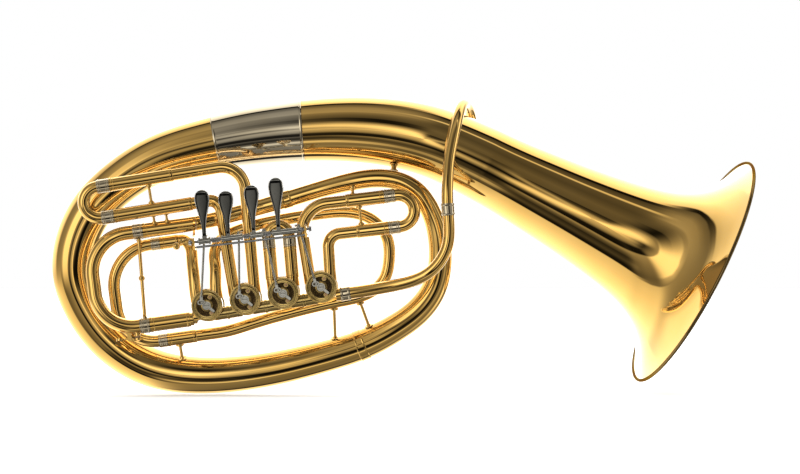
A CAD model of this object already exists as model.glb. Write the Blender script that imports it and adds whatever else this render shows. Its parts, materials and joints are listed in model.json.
# A brass instrument with four rotary valves in a slanted row, seen from the front (-Y).
# Sketch points are in millimetres: X to the right, Z up, Y away from the viewer.
# The conical body starts left of the middle, runs right, bows down and back to the left,
# climbs round the left end and returns along the top to the bell, which opens to the
# right and a little down. The valve faces look to the front.
import bpy
import bmesh
import json
import math
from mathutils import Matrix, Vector


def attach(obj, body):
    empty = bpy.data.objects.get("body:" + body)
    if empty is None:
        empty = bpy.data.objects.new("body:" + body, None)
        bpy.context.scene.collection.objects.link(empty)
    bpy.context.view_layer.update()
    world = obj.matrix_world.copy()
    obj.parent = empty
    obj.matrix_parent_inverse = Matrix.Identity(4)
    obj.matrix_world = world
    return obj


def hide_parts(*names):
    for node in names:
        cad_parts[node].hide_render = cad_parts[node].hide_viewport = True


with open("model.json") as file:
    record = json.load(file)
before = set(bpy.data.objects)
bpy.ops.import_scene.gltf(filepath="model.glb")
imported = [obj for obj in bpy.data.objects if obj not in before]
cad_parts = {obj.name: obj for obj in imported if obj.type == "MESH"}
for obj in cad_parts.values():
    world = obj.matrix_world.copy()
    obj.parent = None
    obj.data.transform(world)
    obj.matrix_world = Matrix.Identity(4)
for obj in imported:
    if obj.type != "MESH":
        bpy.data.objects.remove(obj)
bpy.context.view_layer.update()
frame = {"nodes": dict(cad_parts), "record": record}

SHIFT = Vector((-3.63, -84.53, 174.103))  # sketch origin to frame origin, mm
MM = 0.001
FRONT = Vector((0, -1, 0))


def to_frame(point):
    """Sketch point in millimetres to the frame in metres."""
    return (Vector(point) + SHIFT) * MM


# ---------------------------------------------------------------- node helpers
def connect(tree, node, inputs):
    """Set node inputs by name or index; an output socket is linked, anything else is a value."""
    for key, value in inputs.items():
        if isinstance(value, bpy.types.NodeSocket):
            tree.links.new(value, node.inputs[key])
        else:
            node.inputs[key].default_value = value


def add_node(tree, kind, inputs=None, **settings):
    node = tree.nodes.new("ShaderNode" + kind)
    for key, value in settings.items():
        setattr(node, key, value)
    connect(tree, node, inputs or {})
    return node


def noise(tree, vector, scale, detail):
    return add_node(tree, "TexNoise", {"Vector": vector, "Scale": scale,
                                       "Detail": detail}).outputs["Fac"]


def ramp(tree, factor, stops):
    """Colour ramp through stops of (position, rgb)."""
    node = add_node(tree, "ValToRGB", {"Fac": factor})
    elements = node.color_ramp.elements
    for i, (position, colour) in enumerate(stops):
        element = elements[i] if i < 2 else elements.new(position)
        element.position = position
        element.color = (*colour, 1)
    return node.outputs["Color"]


def map_range(tree, value, **limits):
    """Limits are named from_min, from_max, to_min and to_max."""
    inputs = {key.replace("_", " ").title(): limit for key, limit in limits.items()}
    return add_node(tree, "MapRange", {"Value": value, **inputs}).outputs["Result"]


def math_node(tree, operation, first, second=None):
    inputs = {0: first}
    if second is not None:
        inputs[1] = second
    return add_node(tree, "Math", inputs, operation=operation).outputs["Value"]


def mix_colour(tree, factor, first, second, blend="MIX"):
    return add_node(tree, "Mix", {"Factor": factor, "A": first, "B": second},
                    data_type="RGBA", blend_type=blend).outputs["Result"]


def bump(tree, height, strength, distance, **inputs):
    return add_node(tree, "Bump", {"Height": height, "Strength": strength,
                                   "Distance": distance, **inputs}).outputs["Normal"]


# ------------------------------------------------------------------- materials
WARM_TINT = (1.0, 0.97, 0.88, 1.0)
WHITE = (1, 1, 1, 1)


def new_material(name):
    material = bpy.data.materials.new(name)
    material.use_nodes = True
    tree = material.node_tree
    tree.nodes.clear()
    output = add_node(tree, "OutputMaterial")
    principled = add_node(tree, "BsdfPrincipled")
    connect(tree, output, {"Surface": principled.outputs["BSDF"]})
    return material, tree, principled


def metal(name, dark, light, rough, rough_spread, wave_depth=0.0006, grain=0.012,
          coat=0.25, tint=WARM_TINT, bevel=0.0):
    """Polished metal, drifting between two colours; wave_depth and bevel are in metres."""
    material, tree, principled = new_material(name)
    coords = add_node(tree, "TexCoord").outputs["Object"]
    # slow colour drift
    drift = noise(tree, coords, scale=11.0, detail=3.0)
    colour = ramp(tree, drift, [(0.35, dark), (0.68, light)])
    # darker in crevices
    open_sky = add_node(tree, "AmbientOcclusion", {"Distance": 0.004}, samples=4).outputs["AO"]
    shade = map_range(tree, open_sky, from_min=0.15, from_max=0.75, to_min=0.45, to_max=1.0)
    shaded = mix_colour(tree, 1.0, colour, shade, blend="MULTIPLY")
    # paler where it is seen in another reflection
    glossy_ray = add_node(tree, "LightPath").outputs["Is Glossy Ray"]
    paleness = math_node(tree, "MULTIPLY", glossy_ray, 0.55)
    base = mix_colour(tree, paleness, shaded, (0.80, 0.76, 0.66, 1))
    # roughness: fine handling marks in broad patches
    marks = noise(tree, coords, scale=420.0, detail=5.0)
    patches = noise(tree, coords, scale=38.0, detail=2.0)
    roughness = map_range(tree, math_node(tree, "MULTIPLY", marks, patches),
                          from_min=0.12, from_max=0.42,
                          to_min=rough, to_max=rough + rough_spread)
    # bump: slow waviness of the sheet, then a very fine grain
    edge = {}
    if bevel > 0:
        edge["Normal"] = add_node(tree, "Bevel", {"Radius": bevel}, samples=6).outputs["Normal"]
    waviness = noise(tree, coords, scale=14.0, detail=1.0)
    wavy = bump(tree, waviness, strength=0.5, distance=wave_depth, **edge)
    fine = noise(tree, coords, scale=900.0, detail=2.0)
    normal = bump(tree, fine, strength=grain, distance=0.00005, Normal=wavy)
    connect(tree, principled, {"Base Color": base, "Metallic": 1.0, "Coat Weight": coat,
                               "Coat Roughness": 0.03, "Specular Tint": tint,
                               "Roughness": roughness, "Normal": normal})
    return material


def turned_metal(name, dark, light, rough):
    """Machined brass: flatter, grainier and softly broken at the edges."""
    return metal(name, dark, light, rough=rough, rough_spread=0.12, wave_depth=0.0002,
                 grain=0.062, coat=0.1, bevel=0.0005)


def touch_metal(name):
    """Finger touches: dark in the middle, polished where the surface turns to the sides."""
    material = metal(name, (0.15, 0.145, 0.125), (0.30, 0.29, 0.25), rough=0.06,
                     rough_spread=0.08, wave_depth=0.0004, tint=WHITE, bevel=0.0003)
    tree = material.node_tree
    principled = next(node for node in tree.nodes if node.type == "BSDF_PRINCIPLED")
    worn = principled.inputs["Base Color"].links[0].from_socket
    normal = add_node(tree, "NewGeometry").outputs["Normal"]
    sideways = add_node(tree, "SeparateXYZ", {0: normal}).outputs["X"]
    lean = math_node(tree, "ABSOLUTE", sideways)
    polish = map_range(tree, lean, from_min=0.12, from_max=0.34)
    colour = mix_colour(tree, polish, worn, (0.82, 0.80, 0.74, 1))
    connect(tree, principled, {"Base Color": colour})
    return material


def cork(name):
    material, tree, principled = new_material(name)
    coords = add_node(tree, "TexCoord").outputs["Object"]
    cells = add_node(tree, "TexVoronoi", {"Vector": coords, "Scale": 1100.0})
    speckle = noise(tree, coords, scale=700.0, detail=4.0)
    colour = ramp(tree, speckle, [(0.0, (0.18, 0.09, 0.04)), (1.0, (0.55, 0.36, 0.19))])
    connect(tree, principled, {
        "Base Color": colour,
        "Roughness": map_range(tree, speckle, to_min=0.7, to_max=0.95),
        "Normal": bump(tree, cells.outputs["Distance"], strength=0.7, distance=0.0003)})
    return material


BRASS = metal("lacquered_brass", (0.84, 0.52, 0.13), (0.90, 0.58, 0.17),
              rough=0.02, rough_spread=0.03, coat=0.9)
RIM_BRASS = metal("rim_brass", (0.20, 0.135, 0.055), (0.27, 0.185, 0.075), rough=0.06,
                  rough_spread=0.05, coat=0.05, tint=(0.34, 0.27, 0.16, 1.0))
NICKEL = metal("nickel_silver", (0.62, 0.51, 0.33), (0.72, 0.62, 0.44), rough=0.025,
               rough_spread=0.03, coat=0.4, tint=WHITE)
KEY_NICKEL = metal("nickel_key", (0.42, 0.40, 0.34), (0.54, 0.52, 0.45), rough=0.05,
                   rough_spread=0.08, wave_depth=0.0004, tint=WHITE, bevel=0.0006)
TOUCH_NICKEL = touch_metal("nickel_touch")
TURNED_BRASS = turned_metal("machined_brass", (0.62, 0.44, 0.15), (0.74, 0.54, 0.22), rough=0.10)
RECESS_BRASS = turned_metal("recess_brass", (0.16, 0.10, 0.035), (0.30, 0.20, 0.08), rough=0.12)
ROTOR_BRASS = turned_metal("rotor_brass", (0.66, 0.47, 0.20), (0.76, 0.56, 0.27), rough=0.22)
STEEL = metal("steel", (0.40, 0.39, 0.37), (0.54, 0.53, 0.50), rough=0.12, rough_spread=0.12,
              wave_depth=0.0001, coat=0.0, tint=WHITE, bevel=0.0006)
CORK = cork("cork")
SLOT_MATERIALS = {"lacquered_brass": BRASS, "nickel_silver": NICKEL, "nickel_key": KEY_NICKEL,
                  "rotor_brass": ROTOR_BRASS, "machined_brass": TURNED_BRASS, "steel": STEEL,
                  "cork": CORK}


def dress_loaded_pieces():
    """Give every loaded piece the material of its slot."""
    slot_of = {part["node"]: part["material_slot"] for part in frame["record"]["subparts"]}
    for name, piece in frame["nodes"].items():
        material = SLOT_MATERIALS[slot_of[name]]
        if not piece.material_slots:
            piece.data.materials.append(material)
        for slot in piece.material_slots:
            slot.material = material


# ---------------------------------------------------------------- centre lines
# A station is (point, tangent, radius) on a tube's centre line.
def tilt(degrees):
    """Unit vectors along and square to a line raised by an angle in the XZ plane."""
    c, s = math.cos(math.radians(degrees)), math.sin(math.radians(degrees))
    return Vector((c, 0, s)), Vector((-s, 0, c))


def natural_spline(places, values):
    """Natural cubic spline through values at rising places, as a function."""
    count = len(places)
    step = [places[i + 1] - places[i] for i in range(count - 1)]
    right = [0.0] * count
    for i in range(1, count - 1):
        right[i] = (3 * (values[i + 1] - values[i]) / step[i]
                    - 3 * (values[i] - values[i - 1]) / step[i - 1])
    pivot, upper, solved = [1.0] * count, [0.0] * count, [0.0] * count
    for i in range(1, count - 1):
        pivot[i] = 2 * (places[i + 1] - places[i - 1]) - step[i - 1] * upper[i - 1]
        upper[i] = step[i] / pivot[i]
        solved[i] = (right[i] - step[i - 1] * solved[i - 1]) / pivot[i]
    linear, square, cube = [0.0] * count, [0.0] * count, [0.0] * count
    for j in range(count - 2, -1, -1):
        square[j] = solved[j] - upper[j] * square[j + 1]
        linear[j] = ((values[j + 1] - values[j]) / step[j]
                     - step[j] * (square[j + 1] + 2 * square[j]) / 3)
        cube[j] = (square[j + 1] - square[j]) / (3 * step[j])

    def value_at(place):
        j = 0
        while j < count - 2 and place > places[j + 1]:
            j += 1
        u = place - places[j]
        return values[j] + linear[j] * u + square[j] * u * u + cube[j] * u * u * u
    return value_at


class Line:
    """Smooth line through rows of (x, y, z, radius); places are chord distances."""

    def __init__(self, rows):
        self.places = [0.0]
        for row, after in zip(rows, rows[1:]):
            self.places.append(self.places[-1] + (Vector(row[:3]) - Vector(after[:3])).length)
        self.end = self.places[-1]
        self.splines = [natural_spline(self.places, [row[k] for row in rows]) for k in range(4)]

    def point(self, place):
        return Vector([spline(place) for spline in self.splines[:3]])

    def at(self, place):
        tangent = (self.point(place + 0.05) - self.point(place - 0.05)).normalized()
        return self.point(place), tangent, self.splines[3](place)

    def run(self, start, end, step):
        count = max(3, int((end - start) / step) + 1)
        return [self.at(start + (end - start) * i / (count - 1)) for i in range(count)]


def round_bends(points, bend_radii, step_deg, radius, step):
    """Stations along straight runs joined by round bends."""
    points = [Vector(point) for point in points]
    stations = []

    def add_straight(start, end):
        length = (end - start).length
        if length < 1e-6:
            return
        direction = (end - start) / length
        count = max(1, int(length / step))
        for i in range(count + 1):
            stations.append((start + direction * length * i / count, direction, radius))

    last = points[0]
    for before, corner, after, bend in zip(points, points[1:], points[2:], bend_radii):
        back, ahead = (before - corner).normalized(), (after - corner).normalized()
        half = math.acos(max(-1.0, min(1.0, back.dot(ahead)))) / 2
        cut = bend / math.tan(half)
        start, end = corner + back * cut, corner + ahead * cut
        centre = corner + (back + ahead).normalized() * (bend / math.sin(half))
        add_straight(last, start)
        spoke, end_spoke = (start - centre).normalized(), (end - centre).normalized()
        sweep = math.acos(max(-1.0, min(1.0, spoke.dot(end_spoke))))
        axis = spoke.cross(end_spoke).normalized()
        count = max(3, int(math.degrees(sweep) / step_deg))
        for i in range(1, count):
            angle = sweep * i / count
            turned = spoke * math.cos(angle) + axis.cross(spoke) * math.sin(angle)
            stations.append((centre + turned * bend, axis.cross(turned).normalized(), radius))
        last = end
    add_straight(last, points[-1])
    # drop stations that coincide where runs and bends meet
    kept = [stations[0]]
    for station in stations[1:]:
        if (station[0] - kept[-1][0]).length > 0.02:
            kept.append(station)
    return kept


# --------------------------------------------------------------------- meshes
# A mesh here is a pair (vertices, faces). A ring is (centre, x axis, y axis, radius).
def square_to(direction):
    other = Vector((0, 1, 0)) if abs(direction.y) < 0.9 else Vector((0, 0, 1))
    return direction.cross(other).normalized()


def rings_along(stations):
    """Rings whose axes are carried along the line without twisting."""
    rings = []
    x = square_to(stations[0][1])
    for point, tangent, radius in stations:
        x = (x - tangent * x.dot(tangent)).normalized()
        rings.append((point, x, tangent.cross(x).normalized(), radius))
    return rings


def ring_mesh(rings, segments):
    """Skin over rings, the last joined back to the first."""
    verts, faces = [], []
    for point, x, y, radius in rings:
        for i in range(segments):
            angle = 2 * math.pi * i / segments
            verts.append(point + x * (radius * math.cos(angle)) + y * (radius * math.sin(angle)))
    for k in range(len(rings)):
        k2 = (k + 1) % len(rings)
        for i in range(segments):
            i2 = (i + 1) % segments
            faces.append((k * segments + i, k * segments + i2,
                          k2 * segments + i2, k2 * segments + i))
    return verts, faces


def shell(outer, inner, segments):
    """Closed shell between an outer and an inner run of stations."""
    return ring_mesh(rings_along(outer) + rings_along(inner)[::-1], segments)


def tube(stations, wall, segments):
    """Tube with inner and outer skins and flat ends with an eased outer edge."""
    outer = rings_along(stations)
    ease = min(0.22, wall * 0.45)
    point, x, y, radius = outer[0]
    rings = [(point, x, y, radius - wall), (point, x, y, radius - ease),
             (point + stations[0][1] * ease, x, y, radius)]
    rings += outer[1:-1]
    point, x, y, radius = outer[-1]
    rings += [(point - stations[-1][1] * ease, x, y, radius), (point, x, y, radius - ease),
              (point, x, y, radius - wall)]
    rings += [(point, x, y, radius - wall) for point, x, y, radius in reversed(outer[1:-1])]
    return ring_mesh(rings, segments)


def lathe(origin, direction, profile, segments):
    """Revolve a closed profile of (along, radius) round an axis."""
    direction = direction.normalized()
    x = square_to(direction)
    y = direction.cross(x)
    return ring_mesh([(origin + direction * along, x, y, radius) for along, radius in profile],
                     segments)


def bead(centre, radius, height, width):
    """Profile points of a half-round bead standing on a radius."""
    steps = 6
    return [(centre - width / 2 * math.cos(math.pi * i / steps),
             radius + height * math.sin(math.pi * i / steps)) for i in range(steps + 1)]


def collar(start, end, bore, radius, segments, beads=()):
    """Straight tube with eased edges; beads are (place, height, width), and a
    negative place counts back from the end."""
    length = (end - start).length
    ease = 0.25
    profile = [(0, bore), (0, radius - ease), (ease, radius)]
    for place, height, width in beads:
        profile += bead(place if place >= 0 else length + place, radius, height, width)
    profile += [(length - ease, radius), (length, radius - ease), (length, bore)]
    return lathe(start, end - start, profile, segments)


def mouth_profile(bore, radius, edge, lip, lip_length):
    """Start of an outer leg's profile: a raised lip stepping down to the leg."""
    return [(0, bore), (0, radius + edge), (0.25, radius + lip), (lip_length, radius + lip),
            (lip_length + 0.3, radius)]


def sleeve(line, start, end, thickness, beads, spacing, segments,
           gap=0.03, least_steps=1, edge_drop=0.0):
    """Sleeve round a line; beads are (place, height, width) from its start."""
    length = end - start
    steps = max(least_steps, int(length / spacing))
    outer, inner = [], []
    for i in range(steps + 1):
        along = i / steps
        point, tangent, radius = line.at(start + length * along)
        rise = 0.0
        for place, height, width in beads:
            offset = abs(along * length - place) / (width / 2)
            if offset < 1:
                rise = max(rise, height * math.sqrt(1 - offset * offset))
        edge = min(along * length, (1 - along) * length)
        if edge < 0.25:
            rise -= edge_drop * (1 - edge / 0.25)
        outer.append((point, tangent, radius + gap + thickness + rise))
        inner.append((point, tangent, radius + gap))
    return shell(outer, inner, segments)


def join(meshes):
    verts, faces = [], []
    for part_verts, part_faces in meshes:
        first = len(verts)
        verts += part_verts
        faces += [tuple(i + first for i in face) for face in part_faces]
    return verts, faces


def add_piece(name, mesh, slot, replaced=None, body="root", material=None, sharp_deg=38.0):
    """Make an object of a mesh in sketch millimetres and register it with its frame."""
    data = bpy.data.meshes.new(name)
    data.from_pydata([tuple(to_frame(vert)) for vert in mesh[0]], [], mesh[1])
    data.validate()
    bm = bmesh.new()
    bm.from_mesh(data)
    bmesh.ops.remove_doubles(bm, verts=bm.verts, dist=1e-7)
    bmesh.ops.recalc_face_normals(bm, faces=bm.faces)
    limit = math.radians(sharp_deg)
    for face in bm.faces:
        face.smooth = True
    for edge in bm.edges:
        if len(edge.link_faces) == 2:
            edge.smooth = edge.calc_face_angle(0.0) < limit
    bm.to_mesh(data)
    bm.free()
    piece = bpy.data.objects.new(name, data)
    bpy.context.scene.collection.objects.link(piece)
    data.materials.append(material or SLOT_MATERIALS[slot])
    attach(piece, body)
    if replaced:
        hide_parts(replaced)


# ------------------------------------------------------------ the conical body
# x, y, z, outer radius
BODY_ROWS = [
    (-222.00, 14.00, 15.10, 8.12), (-205.00, 17.00, 18.90, 8.19), (-177.52, 20.00, 26.20, 8.49),
    (-151.42, 22.00, 33.40, 8.78), (-120.78, 23.00, 42.30, 9.22), (-87.87, 24.00, 52.17, 9.34),
    (-54.94, 24.00, 60.43, 10.16), (-24.17, 24.00, 64.28, 10.33), (0.00, 24.00, 60.43, 10.44),
    (19.78, 24.00, 48.34, 10.71), (35.17, 25.00, 24.18, 11.27), (42.88, 26.00, -1.10, 12.64),
    (44.01, 28.00, -27.50, 13.20), (38.54, 31.00, -53.96, 14.04), (22.05, 34.00, -79.37, 14.88),
    (-5.52, 38.00, -100.45, 15.73), (-38.67, 41.00, -117.67, 16.85),
    (-77.42, 44.00, -130.51, 17.70), (-143.92, 47.00, -146.24, 19.21),
    (-215.56, 49.00, -153.32, 20.72), (-276.95, 49.00, -143.78, 22.16),
    (-322.00, 49.00, -115.00, 22.80), (-349.50, 49.00, -77.00, 23.40),
    (-361.50, 49.00, -40.00, 23.82), (-356.71, 49.00, -1.11, 24.09),
    (-340.50, 49.00, 31.00, 24.50), (-314.62, 49.00, 57.61, 25.00),
    (-263.66, 49.00, 88.23, 27.00), (-220.00, 49.00, 101.00, 29.10),
    (-177.25, 49.00, 109.50, 31.30), (-110.78, 49.00, 117.43, 34.30),
    (-55.39, 49.00, 119.14, 36.60), (0.00, 49.00, 113.90, 38.77), (37.68, 50.20, 104.50, 40.30),
    (60.99, 52.20, 95.40, 41.10), (92.16, 56.00, 81.06, 42.60),
]
BODY = Line(BODY_ROWS)
BODY_WALL = 0.7
SEAM_GAP = 0.06
# places along the body where the pieces meet
BRANCH_END = BODY.places[4] - 4.0
BOW_END = BODY.places[16] + 4.0
SLEEVE_START = BODY.places[28] + 16.0
BELL_SEAM = BODY.places[30] + 4.0


def build_body():
    # name, replaced piece, start, end, station step, segments
    for name, replaced, start, end, step, segments in (
            ("main_branch_tube", "main_branch", 0.0, BRANCH_END, 2.5, 56),
            ("second_bow_tube", "second_bow", BRANCH_END + SEAM_GAP, BOW_END, 2.5, 72),
            ("large_bow_tube", "large_bow", BOW_END + SEAM_GAP, BELL_SEAM, 3.0, 112)):
        add_piece(name, tube(BODY.run(start, end, step), BODY_WALL, segments),
                  "lacquered_brass", replaced)


def body_sleeve(start, end, beads, segments, thickness, gap):
    return sleeve(BODY, start, end, thickness, beads, spacing=0.6, segments=segments,
                  gap=gap, least_steps=24, edge_drop=0.2)


def build_body_sleeves():
    end = BELL_SEAM - 0.5
    length = end - SLEEVE_START
    beads = [(0.015 * length, 0.35, 1.6), (0.985 * length, 0.35, 1.6)]
    add_piece("bell_sleeve_band",
              body_sleeve(SLEEVE_START, end, beads, 112, thickness=0.42, gap=0.03),
              "nickel_silver", "bell_sleeve")
    half = 5.0
    ferrules = []
    for seam, height, width, segments in ((BOW_END, 0.18, 1.2, 96), (BRANCH_END, 0.15, 1.0, 64)):
        beads = [(1.0, height, width), (2 * half - 1.0, height, width)]
        ferrules.append(body_sleeve(seam - half, seam + half, beads, segments,
                                    thickness=0.4, gap=0.2))
    add_piece("bow_ferrule_rings", join(ferrules), "lacquered_brass", "bow_ferrules")


# ------------------------------------------------------------------------ bell
BELL_START, _, BELL_START_R = BODY.at(BODY.end)
RIM_CENTRE = Vector((327.37, 85.70, -38.12))
BELL_AXIS = (RIM_CENTRE - BELL_START).normalized()
# distance back from the rim, outer radius
FLARE = [
    (0.0, 134.0), (3.0, 126.0), (7.5, 116.6), (14.0, 105.6), (22.0, 95.2), (32.0, 85.8),
    (45.0, 77.6), (62.0, 70.2), (83.0, 64.2), (107.0, 59.4), (135.0, 55.0), (170.0, 50.4),
    (205.0, 46.6), (240.0, 43.6), ((RIM_CENTRE - BELL_START).length, BELL_START_R)]
RIM_R = FLARE[0][1]


def flare_profile(steps):
    """(distance back from the rim, radius) from the bell's start to its rim."""
    places = [0.0]
    for row, after in zip(FLARE, FLARE[1:]):
        places.append(places[-1] + math.hypot(row[0] - after[0], row[1] - after[1]))
    back, radius = (natural_spline(places, [row[k] for row in FLARE]) for k in range(2))
    spots = [places[-1] * (1 - i / steps) for i in range(steps + 1)]
    return [(back(spot), radius(spot)) for spot in spots]


def build_bell():
    wall = 0.8
    profile = flare_profile(steps=150)
    tail = BODY.run(BELL_SEAM + SEAM_GAP, BODY.end, 3.0)[:-1]
    outer = tail + [(RIM_CENTRE - BELL_AXIS * back, BELL_AXIS, radius)
                    for back, radius in profile]
    inner = [(point, tangent, radius - wall) for point, tangent, radius in tail]
    # in the flare the inner skin is offset square to the surface
    for i, (back, radius) in enumerate(profile):
        before, after = profile[max(0, i - 1)], profile[min(len(profile) - 1, i + 1)]
        forward, widening = before[0] - after[0], after[1] - before[1]
        slope = math.hypot(forward, widening)
        centre = RIM_CENTRE - BELL_AXIS * back + BELL_AXIS * (wall * widening / slope)
        inner.append((centre, BELL_AXIS, radius - wall * forward / slope))
    add_piece("bell_shell", shell(outer, inner, 160), "lacquered_brass", "bell")


def build_bell_rim():
    """Rolled bead round the rim, kept just clear of the bell's edge."""
    roll, steps = 1.9, 20
    profile = []
    for i in range(steps):
        angle = 2 * math.pi * i / steps
        radius = RIM_R + roll + 0.15 + roll * math.cos(angle)
        profile.append((roll * math.sin(angle), max(radius, RIM_R + 0.12)))
    add_piece("bell_rim_roll", lathe(RIM_CENTRE + BELL_AXIS * 0.9, BELL_AXIS, profile, 200),
              "lacquered_brass", "bell_rim_bead", material=RIM_BRASS, sharp_deg=60)


# ------------------------------------------------------------ valves and slides
BORE_R = 6.2
BRANCH_R = 6.7                 # outside of the branches and small bows
BRANCH_WALL = BRANCH_R - BORE_R
INNER_LEG_R = 6.85
OUTER_LEG_BORE_R = 6.9
OUTER_LEG_R = 7.35
FERRULE_R = 7.5
FERRULE_BORE_R = INNER_LEG_R + 0.03
LEG_SOCKET = 2.03              # how far into its ferrule an inner leg starts
LEG_GAP = 0.05                 # between a ferrule and the outer leg beyond it

# the casings stand in a row that rises to the right; valve 1 is the rightmost
ROW_AXIS, ROW_UP = tilt(9.14)
VALVE_PITCH = 41.84
VALVES = [Vector((-85.57, 0.0, -54.39)) - ROW_AXIS * (VALVE_PITCH * i) for i in range(4)]
CASING_R = 17.0
PORT_OFFSET = 11.2             # ports stand this far from a casing's centre line
PORT_REACH = math.sqrt(CASING_R ** 2 - PORT_OFFSET ** 2)
PORT_START = PORT_REACH - 2.2  # branches start inside the wall, then are laid on it


def near_valve(number, along, up):
    """Point by its place along and above the row, from a valve's centre."""
    point = VALVES[number - 1] + ROW_AXIS * along + ROW_UP * up
    point.y = 0.0
    return point


def top_port(number, side):
    return near_valve(number, side * PORT_OFFSET, PORT_START)


def row_offsets(point, centre):
    dx, dz = point.x - centre.x, point.z - centre.z
    return (dx * ROW_AXIS.x + dz * ROW_AXIS.z,
            dx * ROW_UP.x + dz * ROW_UP.z)


def from_row(centre, along, up, y):
    return Vector((centre.x + along * ROW_AXIS.x + up * ROW_UP.x, y,
                   centre.z + along * ROW_AXIS.z + up * ROW_UP.z))


def fit_on_top(mesh, number):
    """Lay a branch's end on top of its casing's round wall; what stands
    outside the wall runs on down beside it."""
    centre = VALVES[number - 1]
    verts = []
    for point in mesh[0]:
        along, up = row_offsets(point, centre)
        if abs(point.y) < 10 and 4.0 < abs(along) < 19.0 and 0 < up < 17.2:
            lowest = 5.6
            wall_up = math.sqrt(max((CASING_R + 0.04) ** 2 - along * along, lowest ** 2))
            if up < 12.2 or up < wall_up:
                point = from_row(centre, along, wall_up, point.y)
        verts.append(point)
    return verts, mesh[1]


def fit_on_side(mesh, number, side):
    """Lay a tube's end on a casing's wall where it comes in from the side."""
    centre = VALVES[number - 1]
    verts = []
    for point in mesh[0]:
        along, up = row_offsets(point, centre)
        wall_square = (CASING_R + 0.04) ** 2 - up * up
        if wall_square > 0:
            wall = math.sqrt(wall_square)
            if abs(along) < wall + 4.5 and (
                    abs(along) < wall or abs(abs(along) - PORT_REACH) < 0.8):
                point = from_row(centre, side * wall, up, point.y)
        verts.append(point)
    return verts, mesh[1]


class Slide:
    """Frame of a slide: along runs from its bow towards the valves (side +1 is
    rightwards), across is positive upwards; y goes evenly from lower to upper leg."""

    def __init__(self, origin, degrees, side, half, upper_y, lower_y):
        self.axis, self.up = tilt(degrees)
        self.origin, self.side, self.half = Vector(origin), side, half
        self.upper_y, self.lower_y = upper_y, lower_y

    def at(self, along, across):
        point = self.origin + self.axis * (self.side * along) + self.up * across
        share = (across + self.half) / (2 * self.half)
        point.y = self.lower_y + (self.upper_y - self.lower_y) * share
        return point


def round_branch(points, bend, number):
    """Branch with one round bend, ending on top of a casing."""
    stations = round_bends(points, [bend], 4.0, BRANCH_R, 5.0)
    return fit_on_top(tube(stations, BRANCH_WALL, 44), number)


def curved_branch(points, start_dir, end_dir, number, step):
    """Branch on a smooth curve, straight for a short way at both ends."""
    lead = 2.5
    points = [Vector(point) for point in points]
    first, last = points[0], points[-1]
    points = [first, first + start_dir * lead] + points[1:-1] + [last - end_dir * lead, last]
    line = Line([(*point, BRANCH_R) for point in points])
    stations = line.run(0.0, line.end, step)
    stations[0] = (first, start_dir, BRANCH_R)
    stations[-1] = (last, end_dir, BRANCH_R)
    return fit_on_top(tube(stations, BRANCH_WALL, 44), number)


def outer_leg(start, end):
    """Outer leg with a reinforced mouth and a step where the branch goes in."""
    length, radius = (end - start).length, OUTER_LEG_R
    profile = mouth_profile(OUTER_LEG_BORE_R, radius, edge=0.15, lip=0.35, lip_length=2.2)
    profile += bead(4.2, radius, 0.22, 0.9)
    profile += bead(length - 3.2, radius, 0.22, 0.9)
    profile += [(length - 0.8, radius), (length - 0.2, radius - 0.3),
                (length, BRANCH_R + 0.06), (length, BRANCH_R + 0.02),
                (length - 1.0, OUTER_LEG_BORE_R)]
    return lathe(start, end - start, profile, 48)


def half_round_bow(slide):
    """Bow of one half circle with short straight stubs."""
    half, stub, steps = slide.half, 2.0, 30
    centre = slide.at(0, 0)
    stations = [(slide.at(stub, half), (slide.at(-1, half) - slide.at(0, half)).normalized(),
                 BRANCH_R)]
    for i in range(steps + 1):
        angle = math.pi * i / steps
        c, s = math.cos(angle), math.sin(angle)
        tangent = (slide.at(-half * c, -half * s) - centre).normalized()
        stations.append((slide.at(-half * s, half * c), tangent, BRANCH_R))
    stations.append((slide.at(stub, -half),
                     (slide.at(1, -half) - slide.at(0, -half)).normalized(), BRANCH_R))
    return tube(stations, BRANCH_WALL, 48)


def add_slide_pieces(number, bow, inner, tubes):
    name, body = "slide_%d" % number, "slide_%d" % number
    add_piece(name + "_bow", bow, "lacquered_brass", name + "_crook", body=body)
    add_piece(name + "_inner", join(inner), "nickel_silver", name + "_inner_legs", body=body)
    add_piece(name + "_tubes", join(tubes), "lacquered_brass", name + "_branches")


def build_slide(number, slide, upper, lower, bow, branches):
    """Upper and lower legs are (ferrule start, ferrule end, inner leg end,
    outer leg end) along the slide."""
    ferrule_beads = [(2.0, 0.5, 1.3), (3.8, 0.25, 0.8), (-3.8, 0.25, 0.8), (-2.0, 0.5, 1.3)]
    inner, outer = [], []
    for leg, across in ((upper, slide.half), (lower, -slide.half)):
        ferrule_start, ferrule_end, inner_end, outer_end = leg
        inner.append(collar(slide.at(ferrule_start, across), slide.at(ferrule_end, across),
                            FERRULE_BORE_R, FERRULE_R, 48, ferrule_beads))
        inner.append(collar(slide.at(ferrule_start + LEG_SOCKET, across),
                            slide.at(inner_end, across), BORE_R, INNER_LEG_R, 44))
        outer.append(outer_leg(slide.at(ferrule_end + LEG_GAP, across),
                               slide.at(outer_end, across)))
    add_slide_pieces(number, bow, inner, outer + branches)


def build_slide_3():
    """Left of the valves."""
    y = -1.5
    slide = Slide((-327.5, 0.0, 37.6), 9.14, 1, 17.1, y, y)
    half = slide.half
    build_slide(3, slide, (0.0, 14.0, 78.0, 84.0), (0.0, 14.0, 78.0, 100.0),
                half_round_bow(slide), [
        round_branch([slide.at(81.0, half), (-171.0, y, 80.07), top_port(3, 1)], 26.0, 3),
        round_branch([slide.at(97.0, -half), (-197.0, y, 41.27), top_port(3, -1)], 12.0, 3)])


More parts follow.
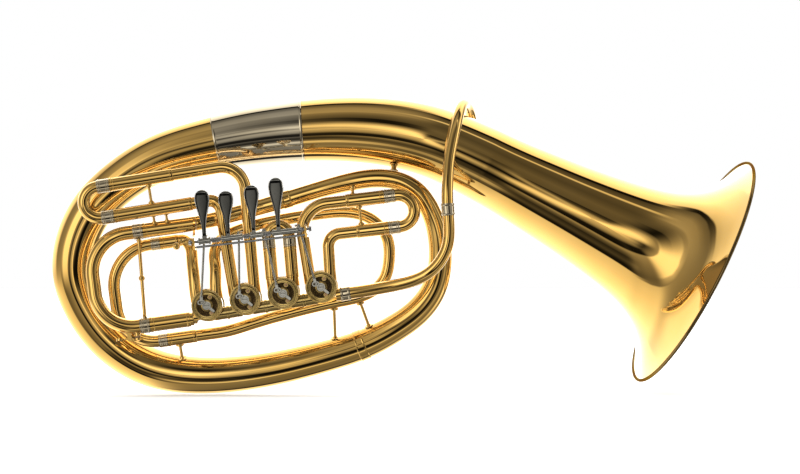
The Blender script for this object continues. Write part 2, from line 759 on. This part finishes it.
def build_slide_1():
    """Right of the valves, its legs running left."""
    slide = Slide((-1.64, 0.0, 28.34), 6.6, -1, 17.1, 0.0, 0.0)
    half = slide.half
    build_slide(1, slide, (2.0, 14.0, 50.0, 56.0), (0.0, 13.0, 42.0, 48.0),
                half_round_bow(slide), [
        round_branch([slide.at(53.0, half), slide.at(108.0, half), top_port(1, -1)], 30.0, 1),
        round_branch([slide.at(45.0, -half), slide.at(79.8, -half), top_port(1, 1)], 14.0, 1)])


def build_slide_2():
    """Short slide standing up from valve 2; depths are taken down from the bow."""
    axis, up = tilt(5.0)
    top, ferrule_length, outer_end, steps = 62.0, 12.0, 46.0, 24

    def at(along, height):
        point = VALVES[1] + axis * along + up * height
        point.y = 0.0
        return point

    bow = [(at(-PORT_OFFSET, top - 2.0), up, BRANCH_R)]
    for i in range(steps + 1):
        angle = math.pi * i / steps
        point = at(-PORT_OFFSET * math.cos(angle), top + PORT_OFFSET * math.sin(angle))
        bow.append((point, axis * math.sin(angle) + up * math.cos(angle), BRANCH_R))
    bow.append((at(PORT_OFFSET, top - 2.0), -up, BRANCH_R))

    inner, tubes = [], []
    radius = OUTER_LEG_R
    for along in (-PORT_OFFSET, PORT_OFFSET):
        inner.append(collar(at(along, top), at(along, top - ferrule_length), FERRULE_BORE_R,
                            FERRULE_R, 44, [(2.0, 0.4, 1.2), (-2.0, 0.4, 1.2)]))
        inner.append(collar(at(along, top - 44.0), at(along, top - LEG_SOCKET),
                            BORE_R, INNER_LEG_R, 44))
        outer_start = ferrule_length + LEG_GAP
        length = outer_end - outer_start
        profile = mouth_profile(OUTER_LEG_BORE_R, radius, edge=0.1, lip=0.3, lip_length=2.0)
        profile += bead(length - 2.5, radius, 0.25, 1.0)
        profile += [(length - 0.3, radius), (length, radius - 0.3),
                    (length, BRANCH_R + 0.04), (length - 1.0, OUTER_LEG_BORE_R)]
        tubes.append(lathe(at(along, top - outer_start), -up, profile, 44))
        heights = (PORT_START, 13.5, 15.0, top - 44.8)
        branch = [(at(along, height), up, BRANCH_R) for height in heights]
        tubes.append(fit_on_top(tube(branch, BRANCH_WALL, 44), 2))
    add_slide_pieces(2, tube(bow, BRANCH_WALL, 48), inner, tubes)


# middle points of the coil, from the fourth slide's lower leg round to valve 4
COIL = [
    (-190.0, 24.0, -103.3), (-164.4, 24.0, -95.8), (-109.6, 24.0, -80.5), (-65.8, 24.0, -70.5),
    (-36.0, 24.0, -62.5), (-19.0, 24.0, -49.0), (-12.0, 24.0, -24.0), (-14.0, 24.0, -2.0),
    (-25.0, 24.0, 14.5), (-42.0, 24.0, 24.3), (-62.0, 24.0, 27.5), (-87.7, 24.0, 25.6),
    (-120.0, 24.0, 20.6), (-151.3, 24.0, 14.6), (-178.0, 24.0, 7.0), (-195.0, 22.0, -2.0),
    (-202.6, 14.0, -15.5), (-201.5, 4.5, -34.0)]
# middle points from its upper leg to valve 4
UPPER_BRANCH_4 = [(-231.5, 21.0, -8.5), (-227.5, 11.0, -24.0), (-224.8, 2.5, -44.0)]


def build_slide_4():
    """Wide slide behind the valves at the left, with the long coil."""
    slide = Slide((-272.0, 24.0, -61.5), 7.9, 1, 53.0, 24.0, 24.0)
    half = slide.half
    bow = round_bends([slide.at(8.0, half), slide.at(-41.0, half), slide.at(-41.0, -half),
                       slide.at(2.0, -half)], [45.0, 41.0], 4.0, BRANCH_R, 6.0)
    upper = [slide.at(35.0, half), slide.at(41.0, half)] + UPPER_BRANCH_4 + [top_port(4, -1)]
    lower = [slide.at(38.0, -half), slide.at(50.0, -half)] + COIL + [top_port(4, 1)]
    build_slide(4, slide, (6.0, 16.0, 34.0, 37.0), (0.0, 10.0, 34.0, 42.0),
                tube(bow, BRANCH_WALL, 48), [
        curved_branch(upper, slide.axis, -ROW_UP, 4, step=3.0),
        curved_branch(lower, slide.axis, -ROW_UP, 4, step=4.0)])


# ----------------------------------------------------------- main tuning slide
TUNING_BOW_R = 7.75
TUNING_FERRULE_R = 8.4
TUNING_FERRULE_BORE_R = 7.78
TUNING_INNER_R = 7.6
TUNING_BORE_R = 7.0
TUNING_OUTER_R = 8.1
TUNING_OUTER_BORE_R = 7.65


def trim_to_body(mesh, direction):
    """Pull points back along a direction to lie square against the body's start."""
    start, tangent, _ = BODY.at(0.0)
    verts = []
    for point in mesh[0]:
        beyond = (point - start).dot(tangent) + 0.05
        if beyond > 0:
            point = point - direction * (beyond / direction.dot(tangent))
        verts.append(point)
    return verts, mesh[1]


def tuning_outer_leg(start, end):
    length, radius = (end - start).length, TUNING_OUTER_R
    profile = mouth_profile(TUNING_OUTER_BORE_R, radius, edge=0.1, lip=0.35, lip_length=2.4)
    profile += bead(4.6, radius, 0.22, 0.9) + bead(length - 3.0, radius, 0.3, 1.1)
    profile += [(length - 0.25, radius), (length, radius - 0.2), (length, TUNING_OUTER_BORE_R)]
    return lathe(start, end - start, profile, 52)


def build_tuning_slide():
    """Left end: the upper leg feeds the body, the lower one comes from valve 4."""
    slide = Slide((-291.03, 0.0, -46.3), 7.9, 1, 51.3, 14.0, 0.0)
    half = slide.half
    bow = round_bends([slide.at(8.0, half), slide.at(-44.0, half), slide.at(-44.0, -half),
                       slide.at(3.0, -half)], [42.0, 42.0], 3.5, TUNING_BOW_R, 6.0)
    add_piece("tuning_bow", tube(bow, 0.65, 56), "lacquered_brass", "tuning_crook",
              body="main_tuning_slide")
    inner, outer = [], []
    # ferrule start, ferrule end, inner leg end, outer leg end, across
    for ferrule_start, ferrule_end, inner_end, outer_end, across in (
            (6.0, 17.0, 70.0, 79.0, half), (1.0, 12.0, 52.0, 56.0, -half)):
        inner.append(collar(slide.at(ferrule_start, across), slide.at(ferrule_end, across),
                            TUNING_FERRULE_BORE_R, TUNING_FERRULE_R, 52,
                            [(2.2, 0.5, 1.4), (4.2, 0.25, 0.8), (-2.2, 0.5, 1.4)]))
        inner.append(collar(slide.at(ferrule_start + LEG_SOCKET, across),
                            slide.at(inner_end, across), TUNING_BORE_R, TUNING_INNER_R, 48))
        leg = tuning_outer_leg(slide.at(ferrule_end + LEG_GAP, across),
                               slide.at(outer_end, across))
        outer.append(trim_to_body(leg, slide.axis) if across > 0 else leg)
    add_piece("tuning_inner", join(inner), "nickel_silver", "tuning_inner_legs",
              body="main_tuning_slide")
    # short tube from valve 4 into the lower leg
    start = slide.at(54.0, -half)
    points = [start, start + slide.axis * 2.5, slide.at(60.0, -half),
              near_valve(4, -18.0, -PORT_OFFSET),
              near_valve(4, -PORT_REACH - 0.05, -PORT_OFFSET)]
    line = Line([(*point, TUNING_BORE_R) for point in points])
    outer.append(fit_on_side(tube(line.run(0, line.end, 1.5), 0.8, 48), 4, -1))
    add_piece("tuning_tubes", join(outer), "lacquered_brass", "tuning_outer_legs")


# ------------------------------------------------------------------- leadpipe
# centre line from valve 1 round to the mouthpiece end, before the bell
LEAD_POINTS = [
    near_valve(1, 6.0, -PORT_OFFSET), near_valve(1, 17.0, -PORT_OFFSET),
    (-58.0, 0.0, -61.4), (-38.0, -1.2, -58.6), (-21.8, -3.0, -55.8), (0.0, -7.0, -51.4),
    (17.4, -12.0, -46.2), (32.5, -16.0, -37.9), (44.4, -17.5, -24.9), (51.5, -17.5, -8.7),
    (53.1, -17.5, 7.6), (52.3, -17.5, 23.8), (51.3, -17.0, 42.0), (51.7, -13.0, 62.0),
    (53.6, -5.0, 84.0), (57.6, 3.0, 106.0), (63.3, 17.0, 130.0), (70.9, 48.0, 147.5),
    (78.0, 78.0, 139.5), (81.5, 95.0, 121.0), (82.5, 103.0, 104.0), (82.0, 108.5, 88.0)]
LEAD_START_R = 6.85
LEAD_TAPER = 1.05
LEAD = Line([(*point, LEAD_START_R - LEAD_TAPER * i / (len(LEAD_POINTS) - 1))
             for i, point in enumerate(LEAD_POINTS)])
LEAD_SEAM = LEAD.places[11] + 6.0


def build_leadpipe():
    wall = 0.6
    lower = [station for station in LEAD.run(0.0, LEAD_SEAM, 2.0)
             if (station[0] - VALVES[0]).length > 17.2]
    lower_tube = fit_on_side(tube(lower, wall, 44), 1, 1)
    upper_tube = tube(LEAD.run(LEAD_SEAM + SEAM_GAP, LEAD.end, 2.5), wall, 44)
    add_piece("leadpipe_tube", join([lower_tube, upper_tube]), "lacquered_brass", "leadpipe")
    rings = []
    # middle, reach before it, reach after it, thickness, bead places
    for middle, before, after, thickness, places in (
            (LEAD.places[2], 7.0, 4.0, 0.8, (1.6, 9.4)),
            (LEAD_SEAM, 6.5, 6.5, 0.7, (1.6, 11.4))):
        beads = [(place, 0.45, 1.4) for place in places]
        rings.append(sleeve(LEAD, middle - before, middle + after, thickness, beads,
                            spacing=0.5, segments=48))
    add_piece("leadpipe_rings", join(rings), "nickel_silver", "leadpipe_ferrules")


# ----------------------------------------------------------------- valve faces
SPINDLE_HOLE_R = 3.54
# profiles are (distance in front of the valve's centre, radius)
FACE_HUB = [
    (13.03, SPINDLE_HOLE_R), (15.45, SPINDLE_HOLE_R), (15.6, SPINDLE_HOLE_R + 0.2), (15.6, 5.3),
    (15.45, 5.6), (14.6, 5.6), (14.6, 6.2), (14.45, 6.4), (14.05, 6.45)]
FACE_RIM = [
    (14.05, 14.85), (14.45, 14.9), (14.6, 15.1), (14.6, 15.6), (14.5, 15.75), (14.6, 15.9),
    (14.6, 16.3), (14.45, 16.6), (13.2, 16.6), (13.03, 16.45)]
BACKING = [(7.0, SPINDLE_HOLE_R), (13.02, SPINDLE_HOLE_R), (13.02, 15.56), (7.0, 15.56)]
FLOOR_START = [(14.06, 6.62), (14.10, 6.8)]
FLOOR_END = [(14.16, 11.1), (14.22, 11.4), (14.16, 11.7), (14.05, 11.75)]


def radii_between(inner, outer, steps):
    return [inner + (outer - inner) * i / steps for i in range(steps + 1)]


def build_valve_faces():
    """Round plates with fine concentric grooves, and a ringed floor round each hub."""
    waves = [(14.13 + 0.06 * math.sin(2 * math.pi * (radius - 6.9) / 1.27), radius)
             for radius in radii_between(6.9, 10.9, 24)]
    floors = [lathe(centre, FRONT, FLOOR_START + waves + FLOOR_END, 72) for centre in VALVES]
    add_piece("valve_recess_floors", join(floors), "machined_brass", material=RECESS_BRASS,
              sharp_deg=60.0)
    grooves = [(14.0 - 0.10 * (0.5 - 0.5 * math.cos(2 * math.pi * (radius - 6.6) / 1.6)), radius)
               for radius in radii_between(6.6, 14.6, 42)]
    plates = []
    for centre in VALVES:
        plates.append(lathe(centre, FRONT, FACE_HUB + grooves + FACE_RIM, 72))
        plates.append(lathe(centre, FRONT, BACKING, 56))
    add_piece("valve_face_plates", join(plates), "machined_brass", "front_bearing_plates",
              sharp_deg=50.0)


# ----------------------------------------------------------------- key touches
KEY_AXLE = tilt(6.6)[0]
KEY_AXLE_START = Vector((-228.61, -46.0, -6.44))
TOUCH_DIR = Vector((-0.06, -0.12, 0.99)).normalized()  # from the axle to the tip
# share of the length, half width
TOUCH_OUTLINE = [(0.0, 2.3), (0.16, 2.1), (0.32, 2.6), (0.47, 4.1), (0.60, 5.9), (0.72, 7.4),
                 (0.82, 8.0), (0.90, 7.5), (0.96, 5.6), (0.992, 2.6)]
TOUCH_STATIONS = [0.10 + 0.86 * k / 44 for k in range(45)] + [0.968, 0.976, 0.983]
TOUCH_COLUMNS = 28
TOUCH_LIFT = 0.76              # underside above the key's middle plane
TOUCHES = [(4, -209.5, 55.0), (3, -184.2, 51.0), (2, -156.7, 54.0), (1, -130.1, 59.0)]


def touch_height(along, across, half_width):
    """Height of the dished top; across goes from -1 to 1."""
    side_lip = 0.50 * across ** 8 * min(1.0, half_width / 4.0)
    side_drop = 1.0 - abs(across) ** 10 if abs(across) > 0.97 else 1.0
    height = max((0.28 + 0.10 * across * across + side_lip) * side_drop, 0.02)
    end_fade = max(0.0, min(1.0, (0.985 - along) / 0.03, (along - 0.095) / 0.04))
    tip_ridge = 0.35 * (1 if 0.94 < along < 0.972 else 0) * (1 - across * across)
    return 0.05 + (height - 0.05) * end_fade + tip_ridge


def touch_mesh(base, length):
    normal = KEY_AXLE.cross(TOUCH_DIR).normalized()
    sideways = TOUCH_DIR.cross(normal).normalized()
    outline = natural_spline([row[0] for row in TOUCH_OUTLINE],
                             [row[1] for row in TOUCH_OUTLINE])
    halves = [min(max(outline(along) - 0.08, 0.6), 7.92) for along in TOUCH_STATIONS]
    columns, count = TOUCH_COLUMNS, len(TOUCH_STATIONS)
    row = columns + 1

    def vert(along, half, across, lift):
        return (base + TOUCH_DIR * (along * length) + sideways * (half * across)
                + normal * lift)

    verts, faces = [], []
    for along, half in zip(TOUCH_STATIONS, halves):
        for j in range(row):
            across = -1 + 2 * j / columns
            lift = TOUCH_LIFT + touch_height(along, across, half)
            verts.append(vert(along, half, across, lift))
    for k in range(count - 1):
        for j in range(columns):
            corner = k * row + j
            faces.append((corner, corner + 1, corner + row + 1, corner + row))
    # flat underside and the two long sides
    under = len(verts)
    for along, half in zip(TOUCH_STATIONS, halves):
        verts += [vert(along, half, across, TOUCH_LIFT) for across in (-1, 1)]
    for k in range(count - 1):
        left = under + 2 * k
        top = k * row
        faces.append((left, left + 2, left + 3, left + 1))
        faces.append((top, top + row, left + 2, left))
        faces.append((top + columns, left + 1, left + 3, top + row + columns))
    # the two ends
    faces.append(tuple([under, under + 1] + [columns - j for j in range(row)]))
    last = (count - 1) * row
    faces.append(tuple([under + 2 * count - 1, under + 2 * count - 2]
                       + [last + j for j in range(row)]))
    return verts, faces


def build_key_touches():
    # key number, x on the axle, length
    for number, x, length in TOUCHES:
        base = KEY_AXLE_START + KEY_AXLE * ((x - KEY_AXLE_START.x) / KEY_AXLE.x)
        add_piece("touch_dish_%d" % number, touch_mesh(base, length), "nickel_key",
                  body="key_%d" % number, material=TOUCH_NICKEL, sharp_deg=40.0)


# ----------------------------------------------------------------------- stage
def build_floor():
    """Pale, faintly glowing floor that reflections do not see."""
    data = bpy.data.meshes.new("floor")
    bm = bmesh.new()
    bmesh.ops.create_grid(bm, x_segments=40, y_segments=40, size=6.0)
    for vert in bm.verts:
        vert.co.z = -0.0005
    bm.to_mesh(data)
    bm.free()
    floor = bpy.data.objects.new("floor", data)
    bpy.context.scene.collection.objects.link(floor)

    material, tree, principled = new_material("pale_floor")
    mottle = add_node(tree, "TexNoise", {"Scale": 3.0}).outputs["Fac"]
    colour = ramp(tree, mottle, [(0.0, (0.93, 0.93, 0.93)), (1.0, (0.97, 0.97, 0.97))])
    connect(tree, principled, {"Base Color": colour, "Roughness": 0.9,
                               "Emission Color": WHITE, "Emission Strength": 0.45})
    mixed = add_node(tree, "MixShader", {
        "Fac": add_node(tree, "LightPath").outputs["Is Glossy Ray"],
        1: principled.outputs["BSDF"],
        2: add_node(tree, "BsdfTransparent").outputs["BSDF"]})
    output = next(node for node in tree.nodes if node.type == "OUTPUT_MATERIAL")
    connect(tree, output, {"Surface": mixed.outputs["Shader"]})
    data.materials.append(material)


# Panels and black flags seen in reflections: (degrees from the direction of the
# camera, brightness), one list for each way outwards from that direction.
UP = [
    (0, 1.6), (13, 1.5), (17, 0.9), (22, 0.35), (26, 0.12), (28, 0.01), (38, 0.01), (40, 0.10),
    (50, 0.20), (58, 0.34), (61, 0.50), (78, 0.42), (88, 0.24), (93, 0.18), (95, 0.008),
    (100, 0.008), (102, 1.1), (118, 1.8), (150, 2.4), (180, 2.8)]
DOWN = [
    (0, 1.6), (8, 1.0), (12, 0.45), (16, 0.12), (18, 0.01), (34, 0.01), (36, 0.14), (41, 0.30),
    (43, 0.95), (48, 0.95), (50, 0.34), (66, 0.28), (80, 0.25), (92, 0.22), (104, 0.16),
    (106, 0.01), (115, 0.01), (117, 1.0), (136, 1.5), (152, 1.8), (180, 2.8)]
LEFT_NEAR = [
    (0, 1.6), (6, 0.7), (9, 0.16), (11, 0.05), (15, 0.20), (23, 0.5), (25, 1.5), (51, 1.5),
    (54, 0.8), (62, 0.42), (80, 0.34)]
LEFT = LEFT_NEAR + [
    (92, 0.26), (104, 0.16), (118, 0.06), (136, 0.05), (138, 1.0), (152, 1.5), (180, 2.8)]
RIGHT = [
    (0, 1.6), (4, 0.3), (6, 0.01), (27, 0.01), (29, 0.32), (38, 0.20), (42, 0.10), (50, 0.45),
    (60, 0.75), (62, 0.24), (82, 0.30), (84, 1.6), (106, 1.6), (108, 0.3), (118, 0.12),
    (121, 0.01), (133, 0.02), (135, 1.0), (150, 1.6), (180, 2.8)]
UPPER_RIGHT = [
    (0, 0.9), (8, 0.5), (12, 0.10), (17, 0.03), (19, 0.16), (36, 0.20), (52, 0.12), (66, 0.16),
    (69, 0.95), (71, 0.95), (73, 0.18), (86, 0.10), (88, 0.008), (93, 0.008), (95, 1.3),
    (110, 1.7), (150, 2.4), (180, 2.8)]
LOWER_LEFT = [
    (0, 0.9), (10, 0.35), (14, 0.02), (22, 0.01), (24, 0.45), (29, 0.20), (36, 0.04),
    (45, 0.10), (52, 0.02), (58, 0.01), (60, 0.95), (80, 1.15), (110, 1.6), (150, 2.2),
    (180, 2.8)]
HIGH_LEFT = LEFT_NEAR + [
    (92, 0.30), (98, 0.9), (108, 1.4), (136, 1.6), (152, 1.8), (180, 2.8)]
LOW_LEFT = [
    (0, 0.9), (10, 0.35), (14, 0.02), (22, 0.01), (24, 0.45), (40, 0.30), (54, 0.20),
    (62, 0.24), (64, 0.9), (74, 1.05), (100, 1.3), (150, 2.0), (180, 2.8)]
# brightness, axis, sign
QUARTERS = [(UP, "Z", 1.0), (DOWN, "Z", -1.0), (LEFT, "X", -1.0), (RIGHT, "X", 1.0)]
# brightness, degrees in the XZ plane from +X towards +Z, narrowness
NARROW_SECTORS = [(HIGH_LEFT, 165.0, 14.0), (UPPER_RIGHT, 60.0, 26.0),
                  (LOW_LEFT, -152.0, 22.0), (LOWER_LEFT, -122.0, 26.0)]


def build_world():
    """White to the camera; a studio of panels and flags to every other ray."""
    world = bpy.data.worlds.new("studio")
    bpy.context.scene.world = world
    world.use_nodes = True
    tree = world.node_tree
    tree.nodes.clear()
    output = add_node(tree, "OutputWorld")

    def calc(operation, first, second=None):
        return math_node(tree, operation, first, second)

    direction = add_node(tree, "TexCoord").outputs["Generated"]
    xyz = add_node(tree, "SeparateXYZ", {"Vector": direction}).outputs
    # angle from the camera's direction as a share of 180 degrees, made a little uneven
    angle = calc("ARCCOSINE", calc("MULTIPLY", xyz["Y"], -1.0))
    share = calc("DIVIDE", angle, math.pi)
    unevenness = calc("SUBTRACT", noise(tree, direction, scale=1.6, detail=2.0), 0.5)
    share = calc("ADD", share, calc("MULTIPLY", unevenness, 0.06))

    def brightness(stops):
        return ramp(tree, share, [(degrees / 180.0, (value,) * 3) for degrees, value in stops])

    x_square = calc("MULTIPLY", xyz["X"], xyz["X"])
    z_square = calc("MULTIPLY", xyz["Z"], xyz["Z"])
    outward_square = calc("MAXIMUM", calc("ADD", x_square, z_square), 1e-5)

    total = None
    for stops, axis, sign in QUARTERS:
        reach = calc("MAXIMUM", calc("MULTIPLY", xyz[axis], sign), 0.0)
        weight = calc("DIVIDE", calc("MULTIPLY", reach, reach), outward_square)
        light = add_node(tree, "VectorMath", operation="SCALE")
        connect(tree, light, {0: brightness(stops), "Scale": weight})
        light = light.outputs["Vector"]
        if total is None:
            total = light
        else:
            total = add_node(tree, "VectorMath", {0: total, 1: light},
                             operation="ADD").outputs["Vector"]
    for stops, degrees, narrowness in NARROW_SECTORS:
        towards_x, towards_z = math.cos(math.radians(degrees)), math.sin(math.radians(degrees))
        facing = calc("ADD", calc("MULTIPLY", xyz["X"], towards_x),
                      calc("MULTIPLY", xyz["Z"], towards_z))
        facing = calc("DIVIDE", calc("MAXIMUM", facing, 0.0), calc("SQRT", outward_square))
        weight = calc("MULTIPLY", calc("POWER", facing, narrowness), 1.6)
        weight = calc("SMOOTH_MIN", weight, 1.0)
        total = mix_colour(tree, weight, total, brightness(stops))

    studio = add_node(tree, "Background", {"Color": total, "Strength": 1.0})
    backdrop = add_node(tree, "Background", {"Color": WHITE, "Strength": 1.0})
    mixed = add_node(tree, "MixShader", {
        "Fac": add_node(tree, "LightPath").outputs["Is Camera Ray"],
        1: studio.outputs["Background"],
        2: backdrop.outputs["Background"]})
    connect(tree, output, {"Surface": mixed.outputs["Shader"]})


def build_light():
    """One soft panel above and in front, kept out of reflections; metres and watts."""
    place, target = Vector((0.1, -0.3, 2.4)), Vector((0, 0, 0.2))
    light = bpy.data.lights.new("soft_top", "AREA")
    light.shape = "RECTANGLE"
    light.size = 2.4
    light.size_y = 1.4
    light.energy = 20
    lamp = bpy.data.objects.new("soft_top", light)
    lamp.location = place
    lamp.rotation_euler = (target - place).to_track_quat("-Z", "Y").to_euler()
    lamp.visible_glossy = False
    bpy.context.scene.collection.objects.link(lamp)


def build_camera():
    """Square on from the front."""
    distance = 3000.0    # mm
    view_width = 872.0   # mm across the view at that distance
    sensor_width = 36.0
    data = bpy.data.cameras.new("camera")
    data.sensor_width = sensor_width
    data.lens = sensor_width * distance / view_width
    data.clip_end = 100
    camera = bpy.data.objects.new("camera", data)
    camera.location = to_frame(FRONT * distance)
    camera.rotation_euler = (math.radians(90), 0, 0)
    scene = bpy.context.scene
    scene.collection.objects.link(camera)
    scene.camera = camera
    scene.view_settings.view_transform = "Standard"
    scene.view_settings.look = "None"
    scene.view_settings.gamma = 0.87


dress_loaded_pieces()
build_body()
build_body_sleeves()
build_bell()
build_bell_rim()
build_slide_3()
build_slide_1()
build_slide_2()
build_slide_4()
build_tuning_slide()
build_leadpipe()
build_valve_faces()
build_key_touches()
build_floor()
build_world()
build_light()
build_camera()
